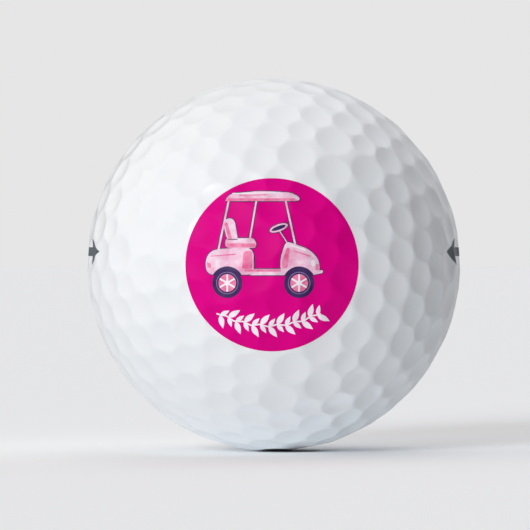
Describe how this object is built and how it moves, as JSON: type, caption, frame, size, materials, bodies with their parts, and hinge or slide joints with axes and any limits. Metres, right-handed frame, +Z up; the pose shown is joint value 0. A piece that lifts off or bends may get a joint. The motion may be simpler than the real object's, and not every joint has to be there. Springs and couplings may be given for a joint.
{
  "type": "golf ball",
  "caption": "Golf ball with a rubber core, a dimpled two-shell cover, a round printed emblem on the front and a plain printed arrow on each side",
  "frame": {"origin": "centre of the ball", "axes": "+Z up as the ball sits, the printed emblem faces -Y, the two side arrows face -X and +X"},
  "size_m": [0.0428, 0.0427, 0.0426],
  "materials": {
    "core_rubber": "matt, finely granular, ground round",
    "cover_ionomer": "white ionomer under a clear gloss coat",
    "ink_magenta": "satin printed ink",
    "ink_pink": "satin printed ink, mottled",
    "ink_white": "satin printed ink",
    "ink_charcoal": "satin pad-printed ink"
  },
  "bodies": {
    "root": {"core": "core_rubber", "cover_upper": "cover_ionomer", "cover_lower": "cover_ionomer", "print_roundel": "ink_magenta", "print_cart": "ink_pink", "print_garland": "ink_white", "mark_left": "ink_charcoal", "mark_right": "ink_charcoal"}
  },
  "joints": []
}
